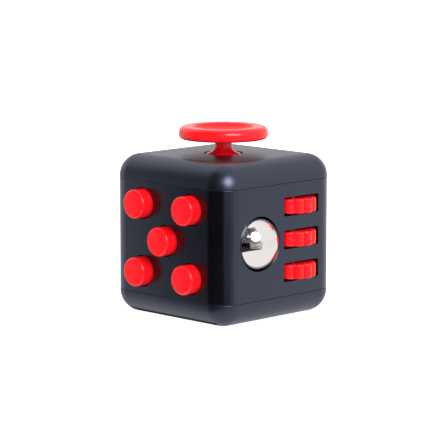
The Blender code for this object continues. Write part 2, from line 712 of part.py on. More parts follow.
def flip_side(finishes):
    pivot = (-HALF + ROCKER_PIVOT_DEPTH, 0, MIDDLE)
    bm = outline_prism(rocker_outline(), -ROCKER_HALF_WIDTH, ROCKER_HALF_WIDTH)
    # The outline's first axis goes up, its second outward and the prism's own axis along Y.
    basis = Matrix(((0, -1, 0), (0, 0, 1), (1, 0, 0))).to_4x4()
    tilt = Matrix.Rotation(ROCKER_TILT, 4, "Y")
    bmesh.ops.transform(bm, matrix=tilt @ basis, verts=bm.verts)
    rocker = add("rocker", bm, finishes["accent"], pivot)
    bore = cylinder(ROCKER_PIN + FINE_GAP, -HALF, HALF)
    carve(rocker, helper("rocker_bore", bore, pivot, "+Y"))
    pin_half = 4.7 * MM
    add("rocker_pin", cylinder(ROCKER_PIN, -pin_half, pin_half), finishes["steel"], pivot, "+Y")

    plate_x = ROCKER_PLATE_X
    wide = 5.5 * MM
    room = (ROCKER_HALF_WIDTH + 0.4 * MM, rocker_reach() + 0.3 * MM)
    wall = 1.2 * MM
    tall = ROCKER_BOSS_RISE + BOSS_RADIUS
    low = (-plate_x, -wide, MIDDLE - tall)
    high = (-plate_x + PLATE, wide, MIDDLE + tall)
    bracket = add("rocker_bracket", box(low, high), finishes["inner"])
    front = -INNER + GAP
    back = -HALF + ROCKER_BOX_DEPTH + PLATE
    low = (front, -room[0] - wall, MIDDLE - room[1] - wall)
    high = (back, room[0] + wall, MIDDLE + room[1] + wall)
    fuse(bracket, helper("rocker_box", box(low, high)))
    low = (front - MM, -room[0], MIDDLE - room[1])
    high = (back - PLATE, room[0], MIDDLE + room[1])
    hollow = helper("rocker_box_room", box(low, high))
    pin_bore = cylinder(ROCKER_PIN + FINE_GAP, -HALF, HALF)
    carve(bracket, hollow, helper("bracket_pin_bore", pin_bore, pivot, "+Y"))
    carve(bracket, *pilots("rocker_bracket", ROCKER_BOSSES, 0, HALF, "-X"))
    for label, place in zip(("upper", "lower"), ROCKER_BOSSES):
        at = (-plate_x + PLATE + FINE_GAP, place[1], place[2])
        screw(f"rocker_screw_{label}", finishes["screw"], at, "+X", 3.0 * MM)

    floor = back - PLATE - FINE_GAP
    rise = floor - pivot[0] - ROCKER_TAIL
    foot = 0.15 * MM
    bow = room[1] - 0.3 * MM
    half_line = [
        (0.9 * MM, rise - 0.3 * MM),
        (1.8 * MM, rise - 0.1 * MM),
        (bow * 0.6, rise * 0.4),
        (bow * 0.85, foot),
        (bow, foot),
    ]
    mirrored = [(-x, z) for x, z in reversed(half_line)]
    line = [*mirrored, (0.0, rise + 0.05 * MM), *half_line]
    leaf = strip(line, 0.2 * MM, 2.4 * MM)
    add("rocker_leaf_spring", leaf, finishes["spring_steel"], (floor, 0, MIDDLE), "-X")


# ---------------------------------------------------------------- spin side


def ratchet_outline():
    count = RATCHET_TEETH * 4
    points = []
    for i in range(count):
        angle = math.tau * i / count
        radius = RATCHET_RADIUS - RATCHET_TOOTH * (1 + math.cos(RATCHET_TEETH * angle))
        points.append((radius * math.cos(angle), radius * math.sin(angle)))
    return points


def spin_side(finishes):
    hub_low = -WALL - 0.5 * MM
    key_low = hub_low - 1.1 * MM
    base = 0.2 * MM
    top = base + DIAL_HEIGHT
    edge = 0.9 * MM
    rim = arc(edge, math.pi / 2, 0, 3, (DIAL_RADIUS - edge, top - edge))
    profile = [
        (0, hub_low),
        (DIAL_HUB, hub_low),
        (DIAL_HUB, base),
        (DIAL_RADIUS, base),
        *rim,
        (0, top),
    ]
    face = (0, HALF, MIDDLE)
    dial = add("dial", turned(profile, 32), finishes["accent"], face, "+Y")
    half_key = 1.5 * MM
    key = box((-half_key, -half_key, key_low), (half_key, half_key, hub_low + 0.5 * MM))
    fuse(dial, helper("dial_key", key, face, "+Y"))
    sphere = (DIMPLE_RADIUS**2 + DIMPLE_DEPTH**2) / (2 * DIMPLE_DEPTH)
    dimple = turned(arc(sphere, 0, math.pi, 10), 16)
    dimple_at = (0, HALF + top - DIMPLE_DEPTH + sphere, MIDDLE + DIMPLE_OFFSET)
    carve(dial, helper("dial_dimple", dimple, dimple_at, "+Y"))
    pilot = cylinder(SCREW_PILOT, key_low - MM, -0.3 * MM, 8)
    carve(dial, helper("dial_pilot", pilot, face, "+Y"))

    disc_top = hub_low - FINE_GAP
    disc_low = key_low + 0.1 * MM
    disc = outline_prism(ratchet_outline(), disc_low, disc_top)
    ratchet = add("dial_ratchet", disc, finishes["inner"], face, "+Y")
    opening = half_key + FINE_GAP
    keyway = box((-opening, -opening, disc_low - MM), (opening, opening, disc_top + MM))
    carve(ratchet, helper("ratchet_keyway", keyway, face, "+Y"))
    washer_low = key_low - 0.5 * MM
    washer = turned(
        [
            (SCREW_PILOT, washer_low),
            (2.6 * MM, washer_low),
            (2.6 * MM, key_low - FINE_GAP),
            (SCREW_PILOT, key_low - FINE_GAP),
        ],
        16,
    )
    add("dial_washer", washer, finishes["steel"], face, "+Y")
    under_head = (0, HALF + washer_low - FINE_GAP, MIDDLE)
    screw("dial_screw", finishes["screw"], under_head, "-Y", 3.2 * MM)

    # A leaf whose end rides in the ratchet's teeth: its line in local X and Z, fixed at its far end.
    middle = (disc_top + disc_low) / 2
    contact = RATCHET_RADIUS - RATCHET_TOOTH * 2
    foot = -SPRING_PLACE[0]
    line = [
        (foot + 1.2 * MM, 0.0),
        (foot - 1.6 * MM, 0.0),
        (foot - 2.1 * MM, 0.3 * MM),
        (foot - 2.1 * MM, 0.9 * MM),
    ]
    leaf = strip(line, SPRING_SHEET, 1.1 * MM)
    bmesh.ops.rotate(leaf, cent=(0, 0, 0), matrix=Matrix.Rotation(math.pi, 3, "Z"), verts=leaf.verts)
    seat = SPRING_SEAT_Y - FINE_GAP - SPRING_SHEET / 2
    spring = add("dial_click_spring", leaf, finishes["spring_steel"], (0, seat, MIDDLE), "+Y")
    finger_half = 0.45 * MM
    arm_reach = foot - 2.1 * MM
    finger = box(
        (-arm_reach, -finger_half, middle - seat + HALF - 0.45 * MM),
        (-contact - GAP, finger_half, middle - seat + HALF - 0.15 * MM),
    )
    fuse(spring, helper("click_finger", finger, (0, seat, MIDDLE), "+Y"))
    hole = cylinder(SCREW_PILOT, -MM, MM, 8)
    carve(spring, helper("click_spring_hole", hole, (SPRING_PLACE[0], seat, MIDDLE), "+Y"))
    under_head = (SPRING_PLACE[0], seat - SPRING_SHEET / 2 - FINE_GAP, MIDDLE)
    screw("click_spring_screw", finishes["screw"], under_head, "-Y", 2.2 * MM)


# ---------------------------------------------------------------- glide side


def disc_profile():
    """The thumb disc, as heights above the cube's top face: a round rim about a shallow dish, with a socket below."""
    under, crest = DISC_UNDER, DISC_CREST
    corner = DISC_CORNER
    foot = arc(corner, math.pi, math.pi / 2, 2, (DISC_RADIUS - corner, under + corner))
    return [
        (0, under + SOCKET_DEPTH),
        (SOCKET_RADIUS, under + SOCKET_DEPTH),
        (SOCKET_RADIUS, under),
        *foot,
        (DISC_RADIUS, DISC_SHOULDER),
        (9.12 * MM, crest - 0.75 * MM),
        (8.9 * MM, crest - 0.38 * MM),
        (8.55 * MM, crest - 0.13 * MM),
        (8.0 * MM, crest),
        (7.2 * MM, crest - 0.01 * MM),
        (6.45 * MM, crest - 0.1 * MM),
        (5.9 * MM, crest - 0.45 * MM),
        (5.2 * MM, crest - 0.95 * MM),
        (4.0 * MM, crest - 1.35 * MM),
        (2.4 * MM, crest - 1.5 * MM),
        (0, crest - 1.55 * MM),
    ]


def stem_profile():
    """The stem, as heights above the pivot: a dome that closes the hole, a flared neck and a spigot for the disc."""
    face = PIVOT_DEPTH
    neck_start = math.asin(3.3 * MM / DOME_OUTER)
    outside = arc(DOME_OUTER, neck_start, DOME_EDGE, 3)
    inside = arc(DOME_INNER, DOME_EDGE, math.asin(1.5 * MM / DOME_INNER), 4)
    under = face + DISC_UNDER
    return [
        (0, under + SPIGOT_RISE),
        (STEM_SPIGOT, under + SPIGOT_RISE),
        (STEM_SPIGOT, under - FINE_GAP),
        (STEM_RADIUS, under - FINE_GAP),
        (STEM_RADIUS, face + 1.15 * MM),
        (2.0 * MM, face + 0.82 * MM),
        (2.55 * MM, face + 0.38 * MM),
        *outside,
        *inside,
        (1.5 * MM, 1.1 * MM),
        (1.7 * MM, 1.1 * MM),
        (1.7 * MM, -1.1 * MM),
        (0.9 * MM, -1.1 * MM),
        (0.9 * MM, -3.8 * MM),
        (0, -3.8 * MM),
    ]


def glide_side(finishes):
    pivot = (0, 0, PIVOT_Z)
    disc = turned([(r, h + PIVOT_DEPTH) for r, h in disc_profile()], 32)
    add("joystick_disc", disc, finishes["accent"], pivot)
    stem = add("joystick_stem", turned(stem_profile(), 24), finishes["accent"], pivot)
    cross_half = GIMBAL_OUTER - 0.5 * MM
    cross = cylinder(TRUNNION, -cross_half, cross_half, 12)
    fuse(stem, helper("stem_cross", cross, pivot, "+Y"))

    height = GIMBAL_HALF_HEIGHT
    ring = turned(
        [(GIMBAL_INNER, -height), (GIMBAL_OUTER, -height), (GIMBAL_OUTER, height), (GIMBAL_INNER, height)]
    )
    gimbal = add("joystick_gimbal", ring, finishes["inner"], pivot)
    for label, side in (("left", -1), ("right", 1)):
        low, high = sorted((side * (GIMBAL_OUTER - 0.5 * MM), side * (BRACKET_INNER + 0.9 * MM)))
        fuse(gimbal, helper(f"gimbal_trunnion_{label}", cylinder(TRUNNION, low, high, 12), pivot, "+X"))
    bore = cylinder(TRUNNION + FINE_GAP, -HALF, HALF, 12)
    carve(gimbal, helper("gimbal_bore", bore, pivot, "+Y"))

    inner_floor = -BRACKET_DEPTH + PLATE
    cup = turned(
        [
            (0, -BRACKET_DEPTH),
            (BRACKET_RADIUS, -BRACKET_DEPTH),
            (BRACKET_RADIUS, BRACKET_RIM),
            (BRACKET_INNER, BRACKET_RIM),
            (BRACKET_INNER, inner_floor),
            (0, inner_floor),
        ],
        24,
    )
    bracket = add("joystick_bracket", cup, finishes["inner"], pivot)
    for i, place in enumerate(BRACKET_PLACES):
        arm_start = BRACKET_RADIUS - 0.6 * MM
        arm_end = BRACKET_BOSS + BOSS_RADIUS
        arm = box((arm_start, -1.7 * MM, BRACKET_ARM - PLATE), (arm_end, 1.7 * MM, BRACKET_ARM))
        turn = Matrix.Rotation(math.atan2(place[1], place[0]), 3, "Z")
        bmesh.ops.rotate(arm, cent=(0, 0, 0), matrix=turn, verts=arm.verts)
        fuse(bracket, helper(f"bracket_arm_{i}", arm, pivot))
    trunnion_bore = cylinder(TRUNNION + FINE_GAP, -HALF, HALF, 12)
    carve(bracket, helper("bracket_bore", trunnion_bore, pivot, "+X"))
    carve(bracket, *pilots("joystick_bracket", BRACKET_PLACES, 0, SIDE, "+Z"))
    for i, place in enumerate(BRACKET_PLACES):
        at = (place[0], place[1], PIVOT_Z + BRACKET_ARM - PLATE - FINE_GAP)
        screw(f"joystick_screw_{i + 1}", finishes["screw"], at, "-Z", 2.6 * MM)
    length = -1.1 * MM - inner_floor - 2 * FINE_GAP
    spring = coil(1.5 * MM, 0.2 * MM, length, 4.0)
    add("joystick_spring", spring, finishes["spring_steel"], (0, 0, PIVOT_Z + inner_floor + FINE_GAP))


def main():
    for old in list(bpy.data.objects):
        bpy.data.objects.remove(old, do_unlink=True)
    finishes = {
        "case": material("case_plastic", (0.035, 0.042, 0.055), 0.38),
        "accent": material("accent_plastic", (0.9, 0.015, 0.02), 0.3),
        "inner": material("inner_plastic", (0.05, 0.05, 0.055), 0.55),
        "chrome": material("ball_steel", (0.8, 0.79, 0.77), 0.05, 1.0),
        "steel": material("pin_steel", (0.6, 0.6, 0.62), 0.25, 1.0),
        "spring_steel": material("spring_steel", (0.5, 0.5, 0.52), 0.3, 1.0),
        "screw": material("screw_steel", (0.35, 0.35, 0.37), 0.35, 1.0),
        "silicone": material("silicone", (0.7, 0.7, 0.72), 0.6),
    }
    body_shell(finishes["case"])
    top_cap(finishes["case"])
    bottom_cap(finishes["case"])
    click_side(finishes)
    wheels(finishes)
    ball_unit(finishes)
    flip_side(finishes)
    spin_side(finishes)
    glide_side(finishes)


main()
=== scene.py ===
"""The looks of the fidget cube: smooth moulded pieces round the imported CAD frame, and a plain studio."""

import json
import math

import bmesh
import bpy
from mathutils import Matrix, Vector


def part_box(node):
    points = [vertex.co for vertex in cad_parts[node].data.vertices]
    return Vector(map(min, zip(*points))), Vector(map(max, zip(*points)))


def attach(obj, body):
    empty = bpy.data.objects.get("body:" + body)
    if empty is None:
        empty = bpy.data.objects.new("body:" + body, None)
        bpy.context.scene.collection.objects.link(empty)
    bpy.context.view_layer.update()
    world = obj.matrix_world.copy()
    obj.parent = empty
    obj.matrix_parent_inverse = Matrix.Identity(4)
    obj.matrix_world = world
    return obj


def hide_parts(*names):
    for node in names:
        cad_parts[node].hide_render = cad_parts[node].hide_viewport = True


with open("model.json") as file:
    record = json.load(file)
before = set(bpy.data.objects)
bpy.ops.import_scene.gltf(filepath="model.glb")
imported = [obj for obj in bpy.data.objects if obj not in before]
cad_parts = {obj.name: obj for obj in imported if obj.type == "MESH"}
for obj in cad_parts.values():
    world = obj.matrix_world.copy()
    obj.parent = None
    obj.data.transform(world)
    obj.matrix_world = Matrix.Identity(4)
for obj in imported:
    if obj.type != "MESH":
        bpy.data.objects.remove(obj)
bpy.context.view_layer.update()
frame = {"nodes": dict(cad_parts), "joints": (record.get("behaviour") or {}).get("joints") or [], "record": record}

MM = 0.001
QUARTER = math.pi / 2

# The case's place and size, from the frame
SHELL_LOW, SHELL_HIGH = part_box("body_shell")
HALF = SHELL_HIGH.x
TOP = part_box("top_cap")[1].z
MIDDLE = (SHELL_LOW.z + SHELL_HIGH.z) / 2
CENTRE = Vector((0, 0, MIDDLE))
SEAM_RISE = SHELL_HIGH.z - MIDDLE

# Case walls, seams and screw posts
EDGE_RADIUS = 4.6 * MM
CORNER_STEPS = 20
WALL = 1.8 * MM
INNER = HALF - WALL
INNER_RADIUS = EDGE_RADIUS - WALL
SEAM = 0.05 * MM
SEAM_EDGE = 0.09 * MM
GAP = 0.1 * MM
TAB_THICKNESS = 1.0 * MM
TAB_REACH = 1.4 * MM
TAB_FLANK = 0.3 * MM
TAB_ROOT = 0.4 * MM
TAB_ROOT_RISE = 0.9 * MM
POST_RADIUS = 1.35 * MM
SLIM_POST_RADIUS = 1.2 * MM
ROCKER_POST = 12.2 * MM
SPRING_POST = 13.5 * MM
SCREW_PILOT = 0.65 * MM
PILOT_END = 0.2 * MM
BRACKET_GAP = 0.05 * MM

# The thumb dish in the base: its hollow, and the bulge behind it that keeps the wall whole
DISH_RADIUS = 9.0 * MM
DISH_DEPTH = 1.7 * MM
BULGE_RADIUS = 11.0 * MM
BULGE_RISE = 3.5 * MM
DISH_STRETCH = (1.0, 0.82, 1.0)

# Openings: how far their edges roll over, and how far below a side's face their cutters start
LIP = 0.18 * MM
FINE_LIP = 0.12 * MM
THROUGH = INNER - MM - HALF

BUTTONS = ("top_left", "top_right", "centre", "bottom_left", "bottom_right")
BUTTON_RADIUS = 3.0 * MM
BUTTON_EDGE = 0.62 * MM
BUTTON_HOLE = 3.2 * MM
FLANGE_RADIUS = 3.8 * MM
FLANGE_TOP = -1.9 * MM
FLANGE_FOOT = -2.7 * MM
PLUNGER_RADIUS = 0.9 * MM

BALL_MOUTH = 5.6 * MM
BALL_CLEARANCE = 0.15 * MM
BALL_LIP = 0.22 * MM
BALL_CUTS = 23

WHEELS = ("lower", "middle", "upper")
WHEEL_RADIUS = 5.0 * MM
WHEEL_LOBES = 12
WHEEL_VALLEY = 0.55 * MM
WHEEL_PHASE = math.radians(-10.5)
WHEEL_EDGE = 0.22 * MM
WHEEL_BORE = 0.85 * MM
SLOT_HALF_WIDTH = 1.875 * MM
SLOT_HALF_LENGTH = 5.05 * MM
SLOT_CORNER = 0.2 * MM

STICK_HOLE = 4.05 * MM
STICK_RELIEF = 6.15 * MM
STICK_LIP = 0.25 * MM
SOCKET_RADIUS = 1.25 * MM
SOCKET_DEPTH = 0.6 * MM
DOME_OUTER = 6.0 * MM
DOME_INNER = 5.2 * MM
DOME_EDGE = math.radians(57)
NECK_FOOT = 3.3 * MM
STEM_RADIUS = 1.75 * MM
SPIGOT_RADIUS = 1.15 * MM
SPIGOT_RISE = 0.5 * MM
COLLAR_RADIUS = 1.7 * MM
COLLAR_HALF = 1.1 * MM
ROOT_RADIUS = 1.5 * MM
TAIL_RADIUS = 0.9 * MM
TAIL_DEPTH = 3.8 * MM
CROSS_RADIUS = 0.7 * MM
CROSS_HALF = 3.4 * MM

ROCKER_TILT = math.radians(12)
ROCKER_VALLEY = 2.8 * MM
ROCKER_ARM = 6.0 * MM
ROCKER_TAIL = 3.6 * MM
ROCKER_EDGE = 0.3 * MM
ROCKER_BORE = 0.7 * MM
ROCKER_CLEARANCE = 0.15 * MM
ROCKER_SLOT_HALF = 3.4 * MM
ROCKER_SLOT_CORNER = 0.25 * MM

DIAL_HOLE = 2.75 * MM
DIAL_LIP = 0.1 * MM
DIAL_LIFT = 0.2 * MM
HUB_RADIUS = 2.6 * MM
HUB_FOOT = -2.3 * MM
KEY_HALF = 1.5 * MM
DIMPLE_RADIUS = 2.3 * MM
DIMPLE_DEPTH = 1.1 * MM
DIMPLE_RISE = 6.2 * MM

# How bright the room is to matt surfaces, and how far off its lamps stand
DAYLIGHT = 0.8
LAMP_DISTANCE = 500 * MM
WHITE_WALL = 0.92

# Turns local +Z to the outward normal of each side
OUTWARD = {
    "-Y": Matrix.Rotation(QUARTER, 4, "X"),
    "+Y": Matrix.Rotation(-QUARTER, 4, "X"),
    "+X": Matrix.Rotation(QUARTER, 4, "Y"),
    "-X": Matrix.Rotation(-QUARTER, 4, "Y"),
    "+Z": Matrix.Identity(4),
    "-Z": Matrix.Rotation(math.pi, 4, "X"),
}


def joint(name):
    return next(j for j in frame["joints"] if j["name"] == name)


# ---------------------------------------------------------------- outlines


def arc(radius, start, end, steps, centre=(0.0, 0.0)):
    """Points (radius, height) on an arc, with angles measured from the turning axis."""
    angles = [start + (end - start) * i / steps for i in range(steps + 1)]
    return [(centre[0] + radius * math.sin(a), centre[1] + radius * math.cos(a)) for a in angles]


def rounded(corners, closed=True, step=math.radians(9)):
    """A polygon of (x, y, radius) corners with each corner rounded to its radius."""
    points = []
    count = len(corners)
    for i, (x, y, radius) in enumerate(corners):
        corner = Vector((x, y))
        if radius == 0 or (not closed and i in (0, count - 1)):
            points.append((x, y))
            continue
        before = (Vector(corners[i - 1][:2]) - corner).normalized()
        after = (Vector(corners[(i + 1) % count][:2]) - corner).normalized()
        opening = before.angle(after)
        reach = radius / math.tan(opening / 2)
        centre = corner + (before + after).normalized() * (radius / math.sin(opening / 2))
        start = corner + before * reach - centre
        turn = math.pi - opening
        side = -1 if before.cross(after) > 0 else 1
        steps = max(2, math.ceil(turn / step))
        for k in range(steps + 1):
            spoke = Matrix.Rotation(side * turn * k / steps, 2) @ start
            points.append(tuple(centre + spoke))
    return points


def rounded_rectangle(half_x, half_y, radius, steps=CORNER_STEPS):
    """Anticlockwise from the +X side; its corners have steps + 1 points each, whatever their radius."""
    points = []
    for sign_x, sign_y, start in ((1, 1, 0), (-1, 1, 1), (-1, -1, 2), (1, -1, 3)):
        centre = (sign_x * (half_x - radius), sign_y * (half_y - radius))
        for k in range(steps + 1):
            angle = (start + k / steps) * QUARTER
            points.append((centre[0] + radius * math.cos(angle), centre[1] + radius * math.sin(angle)))
    return points


def grown(points, by):
    """A closed anticlockwise outline moved outward by a small distance, along its own normals."""
    moved = []
    for i, point in enumerate(points):
        before = Vector(points[i - 1])
        after = Vector(points[(i + 1) % len(points)])
        along = (after - before).normalized()
        moved.append((point[0] + along.y * by, point[1] - along.x * by))
    return moved


def edge_levels(low, high, radius, steps=4):
    """(height, inset) pairs up a wall whose two edges are rounded."""
    up = [(low + radius * (1 - math.cos(a)), radius * (1 - math.sin(a))) for a in quarter(steps)]
    down = [(high - radius * (1 - math.cos(a)), radius * (1 - math.sin(a))) for a in reversed(quarter(steps))]
    return up + down


def quarter(steps):
    return [QUARTER * i / steps for i in range(steps + 1)]


# ---------------------------------------------------------------- meshes


def loft(rings, close_up=False):
    """Skins rings of as many points each. Its ends are filled, or it closes on itself."""
    bm = bmesh.new()
    made = [[bm.verts.new(point) for point in ring] for ring in rings]
    pairs = list(zip(made, made[1:]))
    if close_up:
        pairs.append((made[-1], made[0]))
    for first, second in pairs:
        for i in range(len(first)):
            j = (i + 1) % len(first)
            bm.faces.new((first[i], first[j], second[j], second[i]))
    if not close_up:
        bm.faces.new(made[0])
        bm.faces.new(made[-1])
    bmesh.ops.remove_doubles(bm, verts=bm.verts, dist=1e-7)
    bmesh.ops.dissolve_degenerate(bm, edges=bm.edges, dist=1e-8)
    return bm


def at_height(points, height):
    return [(x, y, height) for x, y in points]


def turned(profile, steps=72):
    """A closed shape turned about Z from (radius, height) points: from axis to axis, or in a ring."""
    bm = bmesh.new()
    verts = [bm.verts.new((radius, 0, height)) for radius, height in profile]
    edges = [bm.edges.new(pair) for pair in zip(verts, verts[1:])]
    if profile[0][0] > 0:
        edges.append(bm.edges.new((verts[-1], verts[0])))
    bmesh.ops.spin(
        bm,
        geom=verts + edges,
        cent=(0, 0, 0),
        axis=(0, 0, 1),
        angle=math.tau,
        steps=steps,
        use_merge=True,
    )
    bmesh.ops.remove_doubles(bm, verts=bm.verts, dist=1e-7)
    return bm


def cylinder(radius, low, high, steps=32):
    return turned([(0, low), (radius, low), (radius, high), (0, high)], steps)


def box(low, high):
    bm = bmesh.new()
    bmesh.ops.create_cube(bm, size=1.0)
    low, high = Vector(low), Vector(high)
    bmesh.ops.scale(bm, vec=high - low, verts=bm.verts)
    bmesh.ops.translate(bm, vec=(low + high) / 2, verts=bm.verts)
    return bm


def lip_profile(radius, face, rounding, beyond=0.6 * MM):
    """The wall of a cutter that rounds over the edge it leaves at face, then carries straight on past it."""
    end = math.radians(72)
    steps = 5
    points = []
    for i in range(steps + 1):
        angle = end * i / steps
        across = radius + rounding * (1 - math.cos(angle))
        points.append((across, face - rounding * (1 - math.sin(angle))))
    last = points[-1]
    points.append((last[0] + beyond * math.sin(end), last[1] + beyond * math.cos(end)))
    return points


def hole_cutter(radius, low, face, rounding=LIP, steps=72):
    wall = lip_profile(radius, face, rounding)
    return turned([(0, low), (radius, low), *wall, (0, wall[-1][1])], steps)


def slot_cutter(half_x, half_y, corner, low, face, rounding=LIP):
    """A rectangular cutter along Z with round corners and a rounded lip at face."""
    rings = []
    for grow, height in [(0.0, low), *lip_profile(0, face, rounding)]:
        outline = rounded_rectangle(half_x + grow, half_y + grow, corner + grow, 6)
        rings.append(at_height(outline, height))
    return loft(rings)


def tidy(bm):
    bmesh.ops.remove_doubles(bm, verts=bm.verts, dist=2e-7)
    bmesh.ops.recalc_face_normals(bm, faces=bm.faces)


def loose(name, bm, at=(0, 0, 0), facing="+Z"):
    """An object of bm, moved to a place and turned to face outward from one of the cube's sides."""
    tidy(bm)
    bm.transform(Matrix.Translation(at) @ OUTWARD[facing])
    mesh = bpy.data.meshes.new(name)
    bm.to_mesh(mesh)
    bm.free()
    made = bpy.data.objects.new(name, mesh)
    bpy.context.scene.collection.objects.link(made)
    return made


def combine(piece, operation, tools):
    """Joins tools to the piece, or cuts it with them, for good."""
    for tool in tools:
        modifier = piece.modifiers.new(tool.name, "BOOLEAN")
        modifier.operation = operation
        modifier.solver = "EXACT"
        modifier.object = tool
    graph = bpy.context.evaluated_depsgraph_get()
    mesh = bpy.data.meshes.new_from_object(piece.evaluated_get(graph))
    piece.modifiers.clear()
    piece.data = mesh
    for tool in tools:
        bpy.data.objects.remove(tool, do_unlink=True)


def carve(piece, *tools):
    combine(piece, "DIFFERENCE", tools)


def fuse(piece, *tools):
    combine(piece, "UNION", tools)


def finish(piece, look, body, *nodes, angle=28):
    """Shades a new piece, gives it its material and joins it to its CAD body in place of its CAD nodes."""
    mesh = piece.data
    mesh.shade_smooth()
    mesh.set_sharp_from_angle(angle=math.radians(angle))
    mesh.materials.clear()
    mesh.materials.append(MATERIALS[look])
    normals = piece.modifiers.new("even_faces", "WEIGHTED_NORMAL")
    normals.mode = "FACE_AREA"
    normals.weight = 50
    normals.keep_sharp = True
    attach(piece, body)
    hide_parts(*nodes)


# ---------------------------------------------------------------- materials


class Nodes:
    """A short way to write a material's nodes."""

    def __init__(self, name, diffuse):
        self.material = bpy.data.materials.new(name)
        self.material.use_nodes = True
        self.material.diffuse_color = (*diffuse, 1)
        self.tree = self.material.node_tree
        self.shader = self.tree.nodes["Principled BSDF"]
        self.place = self.add("ShaderNodeTexCoord").outputs["Object"]

    def add(self, kind, **values):
        node = self.tree.nodes.new(kind)
        for name, value in values.items():
            setattr(node, name, value)
        return node

    def link(self, source, target):
        self.tree.links.new(source, target)

    def set(self, **values):
        for name, value in values.items():
            self.shader.inputs[name.replace("_", " ")].default_value = value

    def noise(self, scale, detail=3.0, roughness=0.5, stretch=None):
        node = self.add("ShaderNodeTexNoise")
        node.inputs["Scale"].default_value = scale
        node.inputs["Detail"].default_value = detail
        node.inputs["Roughness"].default_value = roughness
        place = self.place
        if stretch:
            mapping = self.add("ShaderNodeMapping")
            mapping.inputs["Scale"].default_value = stretch
            self.link(place, mapping.inputs["Vector"])
            place = mapping.outputs["Vector"]
        self.link(place, node.inputs["Vector"])
        return node.outputs["Fac"]

    def spread(self, source, low, high, source_low=0.3, source_high=0.7):
        node = self.add("ShaderNodeMapRange")
        for name, value in (
            ("From Min", source_low),
            ("From Max", source_high),
            ("To Min", low),
            ("To Max", high),
        ):
            node.inputs[name].default_value = value
        self.link(source, node.inputs["Value"])
        return node.outputs["Result"]

    def colours(self, source, first, second):
        node = self.add("ShaderNodeMix", data_type="RGBA")
        self.link(source, node.inputs["Factor"])
        node.inputs["A"].default_value = (*first, 1)
        node.inputs["B"].default_value = (*second, 1)
        self.link(node.outputs["Result"], self.shader.inputs["Base Color"])

    def crown(self, rise, reach):
        """Heights that make each flat side bulge a little, as moulded sides do: rise over reach."""
        offset = self.add("ShaderNodeVectorMath", operation="SUBTRACT")
        self.link(self.place, offset.inputs[0])
        offset.inputs[1].default_value = CENTRE
        square = self.add("ShaderNodeVectorMath", operation="DOT_PRODUCT")
        for slot in (0, 1):
            self.link(offset.outputs["Vector"], square.inputs[slot])
        height = self.add("ShaderNodeMath", operation="MULTIPLY")
        self.link(square.outputs["Value"], height.inputs[0])
        height.inputs[1].default_value = -rise / reach**2
        return height.outputs["Value"]

    def bumps(self, *layers):
        """Bump layers of (height, strength, distance), the first the finest."""
        normal = None
        for height, strength, distance in layers:
            node = self.add("ShaderNodeBump")
            node.inputs["Strength"].default_value = strength
            node.inputs["Distance"].default_value = distance
            self.link(height, node.inputs["Height"])
            if normal:
                self.link(normal, node.inputs["Normal"])
            normal = node.outputs["Normal"]
        self.link(normal, self.shader.inputs["Normal"])


def case_plastic(name, roughness):
    """Nearly black blue-grey ABS that shows by its satin sheen, with the fine grain of an etched mould."""
    n = Nodes(name, (0.012, 0.014, 0.02))
    cloud = n.noise(180, 3.0)
    n.colours(n.spread(cloud, 0.0, 1.0), (0.0009, 0.0009, 0.0018), (0.0014, 0.0014, 0.0025))
    n.link(n.spread(cloud, roughness - 0.015, roughness + 0.015), n.shader.inputs["Roughness"])
    n.bumps((n.noise(9000, 2.0), 0.05, 0.006 * MM), (n.crown(0.2 * MM, 12 * MM), 1.0, 1.0))
    n.set(Specular_IOR_Level=1.0, Specular_Tint=(0.60, 0.70, 1.0, 1.0), IOR=1.53)
    return n.material


def red_plastic(name, roughness):
    """Bright red ABS, smoother than the case."""
    n = Nodes(name, (0.85, 0.01, 0.02))
    cloud = n.noise(260, 3.0)
    n.colours(n.spread(cloud, 0.0, 1.0), (0.88, 0.005, 0.010), (0.91, 0.007, 0.013))
    n.link(n.spread(n.noise(700, 2.0), roughness - 0.015, roughness + 0.015), n.shader.inputs["Roughness"])
    n.bumps((n.noise(7000, 2.0), 0.02, 0.005 * MM), (n.noise(500, 2.0), 0.015, 0.01 * MM))
    n.set(Specular_IOR_Level=0.45, IOR=1.46)
    n.set(Subsurface_Weight=0.4, Subsurface_Radius=(1.0, 0.1, 0.08), Subsurface_Scale=2.5 * MM)
    return n.material


def inner_plastic():
    n = Nodes("inner_plastic", (0.05, 0.05, 0.055))
    cloud = n.noise(300, 3.0)
    n.colours(n.spread(cloud, 0.0, 1.0), (0.035, 0.035, 0.04), (0.05, 0.05, 0.056))
    n.link(n.spread(cloud, 0.5, 0.6), n.shader.inputs["Roughness"])
    n.bumps((n.noise(5000, 2.0), 0.1, 0.01 * MM))
    return n.material


def polished_steel():
    """Mirror-polished steel with the faint hairlines that handling leaves."""
    n = Nodes("ball_steel", (0.8, 0.79, 0.77))
    cloud = n.noise(150, 2.0)
    n.colours(n.spread(cloud, 0.0, 1.0), (0.88, 0.83, 0.81), (0.92, 0.87, 0.85))
    hairlines = n.noise(900, 4.0, 0.7, (1.0, 6.0, 0.7))
    n.link(n.spread(hairlines, 0.035, 0.075), n.shader.inputs["Roughness"])
    n.bumps((hairlines, 0.02, 0.004 * MM))
    n.set(Metallic=1.0)
    return n.material


def drawn_steel(name, dark, light, roughness, stretch):
    """Steel with fine lines from drawing, turning or rolling."""
    n = Nodes(name, light)
    lines = n.noise(2500, 3.0, 0.6, stretch)
    n.colours(n.spread(lines, 0.0, 1.0), dark, light)
    n.link(n.spread(lines, roughness - 0.06, roughness + 0.08), n.shader.inputs["Roughness"])
    n.bumps((lines, 0.08, 0.01 * MM))
    n.set(Metallic=1.0)
    return n.material


